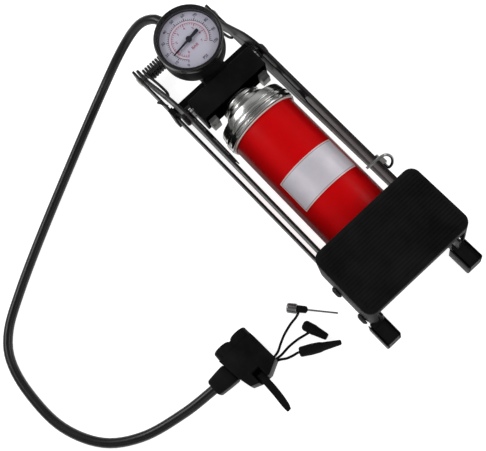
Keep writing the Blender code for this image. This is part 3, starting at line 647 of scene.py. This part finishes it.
# ------------------------------------------------------------------ head
yoke_space = box((-8, -29.4, -12), (18, 29.4, 15.9))
put("yoke_block", box((-5.5, -31.4, -9), (14, 31.4, 17.9)), BARREL, "barrel", "plastic",
    ("head_yoke",), bevel=1.3, segments=4, cutters=[(yoke_space, BARREL, "DIFFERENCE")])
CASTING_FRONT, CASTING_RISE, CASTING_OVERLAP = 6.0, 3.3, 3
cast_space = BARREL @ Matrix(((0, 0, 1, 0), (1, 0, 0, 0), (0, 1, 0, CASTING_RISE * MM), (0, 0, 0, 1)))
root = CASTING_FRONT - CASTING_OVERLAP
cast_shapes = [(turned(((root, 0), (root, 12), (14.6, 12), (14.6, 0)), 64), BARREL, "UNION")]
for side in (-1, 1):
    ear = slab(((root, -6), (17, -6), (20, -3.5), (20, 6), (17, 9), (root, 9)), *span(side, 22.0, 28.9))
    cast_shapes.append((ear, BARREL, "UNION"))
put("valve_casting", slab(rounded(29.1, 12.2, 6, 10), -4, CASTING_FRONT, "Z"), cast_space, "barrel",
    "casting", ("head_casting",), bevel=1.4, segments=4, cutters=cast_shapes)
neck = rounded_profile(((14.9, 3), (14.9, 13.5), (17, 13.5), (17.4, 16.8), (19.6, 16.8), (20.2, 14.8),
                        (22.2, 14.8), (22.8, 18.6), (25.7, 18.6), (25.7, 3)), 0.4)
put("neck_collar", turned(neck, 96, closed=True), BARREL, "barrel", "chrome", ("head_neck",))
cap = rounded_profile(((26, 3), (26, 18.2), (26.8, 22.5), (28.2, 27.2), (29.2, 29.4), (34.3, 30.4),
                       (34.8, 29.65), (35.9, 29.65), (36.5, 31.4), (38.9, 31.6), (39.4, 29.8), (40.7, 29.8),
                       (41.3, 31.4), (43, 31.2), (43.5, 30.6), (43.5, 29.3), (33, 29.3), (33, 3)), 0.32)
put("barrel_cap_shell", turned(cap, 128, closed=True), BARREL, "barrel", "chrome", ("barrel_cap",))
ring = rounded_profile(((43.8, 29.3), (43.8, 30.2), (44.9, 30.2), (44.9, 29.3)), 0.2)
put("cap_seal_ring", turned(ring, 128, closed=True), BARREL, "barrel", "ivory", ("cap_ring",))
shell = rounded_profile(((33.3, 27.5), (33.3, 29.0), (151.0, 29.0), (151.0, 27.5)), 0.3)
put("red_barrel", turned(shell, 160, closed=True), BARREL, "barrel", "red_enamel",
    ("barrel_tube",))
plug = rounded_profile(((144, 4.4), (144, 27.2), (151.3, 27.2), (151.3, 29.0), (153, 29.0), (154, 28.0),
                        (154, 4.4)), 0.4)
put("barrel_plug", turned(plug, 96, closed=True), BARREL, "barrel", "plastic", ("barrel_end_cap",))


def curved_label():
    """A film bent round the top of the barrel, with its own UV across and round it."""
    bm = bmesh.new()
    uv = bm.loops.layers.uv.new("label")
    start, end, low, high, steps = 34, 146, 89.5, 117.8, 40
    inner, outer = 29.3, 29.6
    places = {}

    def corner(radius, share, s):
        key = (radius, round(share, 4), s)
        if key not in places:
            a = math.radians(start + (end - start) * share)
            vert = bm.verts.new((s, radius * math.cos(a), radius * math.sin(a)))
            places[key] = vert
        return places[key]

    def face(corners):
        made = bm.faces.new([corner(*c) for c in corners])
        for loop, c in zip(made.loops, corners):
            loop[uv].uv = ((c[2] - low) / (high - low), c[1])

    for i in range(steps):
        a, b = i / steps, (i + 1) / steps
        face(((outer, a, low), (outer, a, high), (outer, b, high), (outer, b, low)))
        face(((inner, a, low), (inner, b, low), (inner, b, high), (inner, a, high)))
        for s in (low, high):
            face(((inner, a, s), (outer, a, s), (outer, b, s), (inner, b, s)))
    for share in (0, 1):
        face(((inner, share, low), (inner, share, high), (outer, share, high), (outer, share, low)))
    return bm


put("label_film", curved_label(), BARREL, "barrel", "label", ("barrel_label",))

# ------------------------------------------------------------------ gauge
DIAL_TOP = 35.4
stem = ((-4.3, -1.5), (-4.3, 12.5), (-12, 13.0), (-44, 13.0), (-44, 0), (-38, -1.5))
put("gauge_bracket", slab(stem, -11, 11), BARREL, "barrel", "plastic", ("gauge_stem",),
    bevel=1.2, segments=4)


def about_gauge(profile, sides, closed=False):
    """A profile of (height above the barrel's axis, radius) spun about the gauge's axis."""
    return turned([(height - GAUGE_FACE, radius) for height, radius in profile], sides, "Z", closed=closed)


cup = rounded_profile(((13.4, 0), (13.4, 23.4), (14.8, 24.9), (18, 25.3), (34.2, 25.3), (34.2, 23.2),
                       (33.0, 23.2), (33.0, 0)), 0.8)
put("gauge_cup", about_gauge(cup, 96), GAUGE, "barrel", "plastic", ("gauge_body",))
bezel = rounded_profile(((34.5, 22.9), (34.5, 26.1), (40.6, 26.1), (41.2, 25.4), (41.2, 24.0), (40.0, 23.6),
                         (38.6, 23.6), (38.6, 22.9)), 0.7)
put("bezel_ring", about_gauge(bezel, 128, True), GAUGE, "barrel", "bezel", ("gauge_bezel",))
face_disc = rounded_profile(((34.6, 0), (34.6, 22.5), (DIAL_TOP, 22.5), (DIAL_TOP, 0)), 0.2)
put("dial_plate", about_gauge(face_disc, 128), GAUGE, "barrel", "dial", ("gauge_dial",))
lens = rounded_profile(((38.9, 0), (38.9, 23.3), (39.5, 23.3), (39.7, 23.0), (39.7, 0)), 0.2)
put("lens_disc", about_gauge(lens, 128), GAUGE, "barrel", "lens", ("gauge_lens",))

PRINT_LOW, PRINT_HIGH, BAND_HIGH = (DIAL_TOP - GAUGE_FACE + rise for rise in (0.01, 0.05, 0.025))
ZERO_ANGLE, FULL_ANGLE = -42.5, -316.5
PSI_FULL, BAR_FULL = 100, 7
PSI_RING, BAR_RING = (15.25, 15.6), (13.3, 13.6)


def scale_angle(share):
    return math.radians(ZERO_ANGLE + (FULL_ANGLE - ZERO_ANGLE) * share)


def tick(bm, angle, inner, outer, width):
    across = Matrix.Rotation(angle, 4, "Z") @ Matrix.Translation(
        ((inner + outer) / 2, 0, (PRINT_LOW + PRINT_HIGH) / 2))
    bmesh.ops.create_cube(bm, size=1, matrix=across @ Matrix.Diagonal(
        (outer - inner, width, PRINT_HIGH - PRINT_LOW, 1)))


def ring_print(bm, inner, outer, top=PRINT_HIGH, steps=90):
    rings = []
    for i in range(steps + 1):
        a = scale_angle(i / steps)
        rings.append([bm.verts.new((r * math.cos(a), r * math.sin(a), z)) for r, z in
                      ((inner, PRINT_LOW), (outer, PRINT_LOW), (outer, top), (inner, top))])
    for first, second in zip(rings, rings[1:]):
        for i in range(4):
            j = (i + 1) % 4
            bm.faces.new((first[i], first[j], second[j], second[i]))
    bm.faces.new(rings[0][::-1])
    bm.faces.new(rings[-1])


LETTER_WEIGHT = 0.05


def letters(bm, words, angle, radius, size):
    """Upright generic lettering, as a raised print centred on a point of the dial."""
    curve = bpy.data.curves.new("letters", "FONT")
    curve.body = words
    curve.size = size
    curve.align_x = "CENTER"
    curve.align_y = "CENTER"
    curve.extrude = (PRINT_HIGH - PRINT_LOW) / 2
    curve.resolution_u = 4
    curve.offset = LETTER_WEIGHT
    helper = bpy.data.objects.new("letters", curve)
    bpy.context.scene.collection.objects.link(helper)
    bpy.context.view_layer.update()
    mesh = bpy.data.meshes.new_from_object(helper.evaluated_get(bpy.context.evaluated_depsgraph_get()))
    centre = Vector((radius * math.cos(angle), radius * math.sin(angle), (PRINT_LOW + PRINT_HIGH) / 2))
    mesh.transform(Matrix.Translation(centre) @ Matrix.Rotation(math.pi / 2, 4, "Z"))
    bm.from_mesh(mesh)
    bpy.data.objects.remove(helper, do_unlink=True)
    bpy.data.curves.remove(curve)
    bpy.data.meshes.remove(mesh)


dark, red, band = bmesh.new(), bmesh.new(), bmesh.new()
for value in range(0, PSI_FULL + 1, 2):
    major = value % 10 == 0
    tick(dark, scale_angle(value / PSI_FULL), 15.5, 17.6 if major else 16.8, 0.55 if major else 0.34)
    if major:
        letters(dark, str(value), scale_angle(value / PSI_FULL), 19.7, 3.1)
ring_print(dark, *PSI_RING)
letters(dark, "PSI", 0.0, 18.4, 3.4)
for fifth in range(5 * BAR_FULL + 1):
    major = fifth % 5 == 0
    tick(red, scale_angle(fifth / (5 * BAR_FULL)), 11.3 if major else 12.0, BAR_RING[0], 0.6 if major else 0.42)
    if major:
        letters(red, str(fifth // 5), scale_angle(fifth / (5 * BAR_FULL)), 9.6, 2.8)
ring_print(red, *BAR_RING)
letters(red, "BAR", 0.0, 6.8, 3.4)
put("dial_dark_print", dark, GAUGE, "barrel", "ink")
put("dial_red_print", red, GAUGE, "barrel", "red_ink")
ring_print(band, 13.45, PSI_RING[0], BAND_HIGH)
put("dial_pink_band", band, GAUGE, "barrel", "pink_band")

NEEDLE_DEGREES, NEEDLE_LOW = 6.5, -4.6
needle_space = GAUGE @ Matrix.Rotation(math.radians(NEEDLE_DEGREES), 4, "Z")
pointer = [(-1.2, 9.6), (-1.35, 8.4), (-0.95, 2.0), (-0.4, -16.6), (0.4, -16.6), (0.95, 2.0), (1.35, 8.4),
           (1.2, 9.6), (0.7, 10.0), (-0.7, 10.0)]
hub = rounded_profile(((NEEDLE_LOW - 0.6, 0), (NEEDLE_LOW - 0.6, 2.3), (NEEDLE_LOW + 1.5, 2.3),
                       (NEEDLE_LOW + 1.5, 0)), 0.4)
put("dial_needle", slab(pointer, NEEDLE_LOW, NEEDLE_LOW + 0.8, "Z"), needle_space, "pointer", "needle",
    ("gauge_needle",), bevel=0.12, segments=2, cutters=[(turned(hub, 48, "Z"), needle_space, "UNION")])

OUTLET_RISE, SLEEVE_RIBS, SLEEVE_PITCH = 5.5, 4, 1.6
OUTLET = BARREL @ Matrix.Translation((0, 0, OUTLET_RISE * MM))
sleeve = [(-62.0, 0), (-62.0, 4.9)]
for i in range(SLEEVE_RIBS):
    s = -61.2 + i * SLEEVE_PITCH
    sleeve += [(s, 5.3), (s + 0.4, 5.9), (s + 1.0, 5.9), (s + 1.3, 5.3)]
sleeve += [(-54.6, 5.6), (-54.4, 5.2), (-54.4, 0)]
put("hose_sleeve", turned(rounded_profile(sleeve, 0.3), 48), OUTLET, "barrel", "rubber",
    ("outlet_ferrule",))

# ------------------------------------------------------------------ latch wire
wire = smooth_curve([(198.4, 27.2, 60.2), (199.0, 33.0, 61.0), (199.8, 41.5, 61.0), (201.4, 45.4, 58.6),
                     (204.0, 46.7, 54.8), (206.0, 45.0, 50.4), (205.8, 42.7, 46.8), (204.6, 41.9, 45.5),
                     (199.0, 41.9, 45.5), (193.6, 41.9, 45.5), (192.4, 42.3, 44.4), (192.0, 43.4, 40.0),
                     (192.0, 44.3, 27.0), (192.0, 44.4, 18.0), (192.0, 43.5, 14.6)], 0.9)
put("latch_hook", tube(wire, 1.1, 14), PUMP, "latch", "wire", ("latch_wire",))

# ------------------------------------------------------------------ chuck
chuck_outline = [(219, -146), (238.6, -143.4), (248.6, -140.9), (251.3, -134), (251.5, -124.5), (246, -113.4),
                 (219, -114.6)]
MOUTHS = (("near", -138.4), ("far", -122.6))
MOUTH_HEIGHT, MOUTH_BORE = 13.0, 4.6
mouth_web = box((213, MOUTHS[0][1], 5.3), (224, MOUTHS[1][1], 20.7))
lever_slot = box((241.6, -134.2, 6.0), (256, -126.8, 25))
bore_profile = ((205, 0), (205, MOUTH_BORE), (224, MOUTH_BORE), (224, 0))
chuck_cuts = [(mouth_web, PUMP, "UNION"), (lever_slot, PUMP, "DIFFERENCE")]
for place, y in MOUTHS:
    chuck_cuts.append((turned(bore_profile, 48, "X", (0, y, MOUTH_HEIGHT)), PUMP, "DIFFERENCE"))
put("chuck_housing", slab(chuck_outline, 4.2, 21.8, "Z"), PUMP, "base", "plastic", ("chuck_body",),
    bevel=1.8, segments=5, cutters=chuck_cuts)
snout = rounded_profile(((221, MOUTH_BORE), (210.6, MOUTH_BORE), (210.6, 6.6), (211.4, 7.4), (221, 7.8)), 0.5)
for place, y in MOUTHS:
    put("chuck_snout_" + place, turned(snout, 64, "X", (0, y, MOUTH_HEIGHT), True), PUMP, "base", "plastic")
tail_outline = [(222.8, -163.2), (236.4, -163.2), (237.4, -152.0), (237.9, -143.6), (221.3, -145.4),
                (221.6, -152.0)]
tail = put("chuck_tail", slab(tail_outline, 4.3, 17.7, "Z"), PUMP, None, "plastic",
           ("chuck_ferrule",), bevel=2.4, segments=6)
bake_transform(tail)
lever_side = [(244.0, 15.0), (245.5, 17.2), (249, 17.6), (254, 16.8), (262, 15.2), (270, 12.6), (277.5, 8.6),
              (278.8, 6.0), (276, 5.6), (269, 9.4), (261, 12.0), (253, 12.8), (248.5, 10.6), (245.2, 10.4)]
lever_loop = smooth_curve([(x, 0, z) for x, z in [*lever_side, lever_side[0]]], 1.1)[:-1]
LEVER_Y, LEVER_HALF, LEVER_BEND_X, LEVER_TIP_X = -130.0, 2.9, 258, 278.8
LEVER_NARROWING, LEVER_SWEEP = 1.2, 2.2
flap = slab([(p.x, p.z) for p in lever_loop], -1.0, 1.0)
for vert in flap.verts:
    toward_tip = max(0.0, (vert.co.x - LEVER_BEND_X) / (LEVER_TIP_X - LEVER_BEND_X))
    half = LEVER_HALF - LEVER_NARROWING * toward_tip ** 5
    vert.co.y = LEVER_Y + half * vert.co.y - LEVER_SWEEP * toward_tip ** 1.6
put("flip_lever", flap, PUMP, "lever", "plastic", ("chuck_lever",), bevel=0.8, segments=4)

# ------------------------------------------------------------------ adapters and their tethers
# Each adapter: name, place of its blunt end, direction, turned sections, and the solid that it stands for
ADAPTERS = (
    ("needle", (220.6, -81.6, 4.3), (0.764, 0.645), (
        ("collar", "wire", "steel", ((0, 0), (0, 3.2), (0.8, 3.9), (7.6, 3.9), (8.0, 2.9), (8.0, 0))),
        ("sleeve", "plastic", "plastic", ((8.0, 0), (8.0, 2.9), (15.0, 2.7), (16.0, 1.2), (16.2, 0))),
        ("stalk", "wire", "steel", ((16.0, 0), (16.0, 0.75), (38.8, 0.75), (39.4, 0.4), (39.4, 0)))),
     ("adapter_needle",)),
    ("round", (238.6, -81.2, 4.4), (0.949, 0.316), (
        ("nozzle", "plastic", "plastic", ((0, 0), (0, 2.6), (0.9, 3.6), (2.2, 4.1), (9.0, 4.1), (11.0, 3.7),
                                          (19.8, 2.7), (20.6, 2.2), (20.6, 0))),),
     ("adapter_round",)),
    ("tapered", (252.0, -97.6, 4.4), (0.498, 0.867), (
        ("nozzle", "plastic", "plastic", ((0, 0), (0, 3.0), (0.9, 3.9), (9.0, 4.3), (16.0, 4.0), (18.5, 3.3),
                                          (31.5, 2.0), (32.4, 1.3), (32.4, 0))),),
     ("adapter_tapered",)),
)
FLUTES = 16


def collar_flutes():
    """The grip flutes round the needle adapter's collar, as one cutter."""
    bm = bmesh.new()
    for i in range(FLUTES):
        turn = Matrix.Rotation(2 * math.pi * i / FLUTES, 4, "X") @ Matrix.Translation((4.2, 0, 3.9))
        bmesh.ops.create_cube(bm, size=1, matrix=turn @ Matrix.Diagonal((5.6, 0.6, 0.6, 1)))
    return bm


for name, place, aim, sections, replaced in ADAPTERS:
    turn_to_aim = Matrix.Rotation(math.atan2(aim[1], aim[0]), 4, "Z")
    facing = PUMP @ Matrix.Translation(Vector(place) * MM) @ turn_to_aim
    for part, look, slot_name, profile in sections:
        cuts = [(collar_flutes(), facing, "DIFFERENCE")] if part == "collar" else ()
        piece = put(f"adapter_{name}_{part}", turned(rounded_profile(profile, 0.35), 48), facing, "base", look,
                    replaced if part == sections[0][0] else (), cutters=cuts)
TETHER_ROUTES = {
    "needle": ((243.4, -115.4, 13.4), (242.8, -111.8, 12.6), (241.4, -108.4, 10.2), (237.4, -103.2, 4.6),
               (233.6, -96.0, 1.8), (231.2, -87.5, 1.6), (230.6, -81.4, 2.8), (229.0, -76.6, 4.3)),
    "round": ((244.4, -115.4, 10.4), (244.9, -111.8, 9.6), (244.6, -108.2, 6.6), (243.2, -100.6, 2.4),
              (243.6, -92.0, 1.6), (245.2, -86.0, 3.2), (246.4, -80.8, 4.4)),
    "tapered": ((245.2, -115.4, 7.4), (246.6, -111.8, 6.8), (248.6, -108.0, 3.6), (250.2, -103.2, 2.6),
                (251.4, -98.8, 4.0), (252.8, -96.2, 4.4)),
}
TETHER_RADIUS = 1.0
straps, strap_lines = {}, {}
for name, route in TETHER_ROUTES.items():
    strap_lines[name] = smooth_curve(route, 1.5)
    straps[name] = put("strap_" + name, tube(strap_lines[name], TETHER_RADIUS, 14), PUMP, "base", "plastic",
                       ("tether_" + name,))


# ------------------------------------------------------------------ floor and light
FLOOR_HALF, FLOOR_DROP = 4.0, 0.0003
floor_material, _, _, shader = new_material("pale_floor")
shader.inputs["Base Color"].default_value = (0.60, 0.60, 0.60, 1)
shader.inputs["Roughness"].default_value = 0.6
shader.inputs["Specular IOR Level"].default_value = 0.2
shader.inputs["Emission Color"].default_value = (1, 1, 1, 1)
shader.inputs["Emission Strength"].default_value = 0.86
plane = bmesh.new()
bmesh.ops.create_grid(plane, x_segments=2, y_segments=2, size=FLOOR_HALF)
floor_mesh = bpy.data.meshes.new("floor")
plane.to_mesh(floor_mesh)
plane.free()
floor_mesh.materials.append(floor_material)
floor = bpy.data.objects.new("floor", floor_mesh)
floor.location.z = -FLOOR_DROP
bpy.context.scene.collection.objects.link(floor)

# The sky's brightness against the height of a direction, from straight down to straight up
SKY_STOPS = ((0.0, 0.60), (0.16, 0.12), (0.42, 0.55), (0.60, 1.0), (0.80, 0.85), (0.93, 0.30), (1.0, 0.22))
SKY_STRENGTH = 0.7
world = bpy.data.worlds.new("studio")
bpy.context.scene.world = world
world.use_nodes = True
nodes, links = world.node_tree.nodes, world.node_tree.links
direction = nodes.new("ShaderNodeTexCoord").outputs["Generated"]
split = nodes.new("ShaderNodeSeparateXYZ")
links.new(direction, split.inputs[0])
sky = nodes.new("ShaderNodeValToRGB")
ramp = sky.color_ramp
ramp.interpolation = "EASE"
for position, _ in SKY_STOPS[1:-1]:
    ramp.elements.new(position)
for element, (_, level) in zip(ramp.elements, SKY_STOPS):
    element.color = (level, level, level, 1)
links.new(split.outputs["Z"], sky.inputs["Fac"])
links.new(sky.outputs["Color"], nodes["Background"].inputs["Color"])
nodes["Background"].inputs["Strength"].default_value = SKY_STRENGTH


LIT_PLACE = (0, 0, 0.03)


def soft_light(name, place, size, power):
    lamp = bpy.data.lights.new(name, "AREA")
    lamp.shape = "RECTANGLE"
    lamp.size, lamp.size_y = size
    lamp.energy = power
    obj = bpy.data.objects.new(name, lamp)
    obj.location = place
    obj.rotation_euler = (Vector(LIT_PLACE) - Vector(place)).to_track_quat("-Z", "Y").to_euler()
    bpy.context.scene.collection.objects.link(obj)


soft_light("key", (-0.60, -0.45, 0.70), (0.5, 0.35), 4.0)
soft_light("side", (0.35, 0.8, 0.6), (0.7, 0.3), 3.0)
soft_light("front", (0.75, -0.30, 0.55), (0.3, 0.5), 1.0)

bpy.context.view_layer.update()
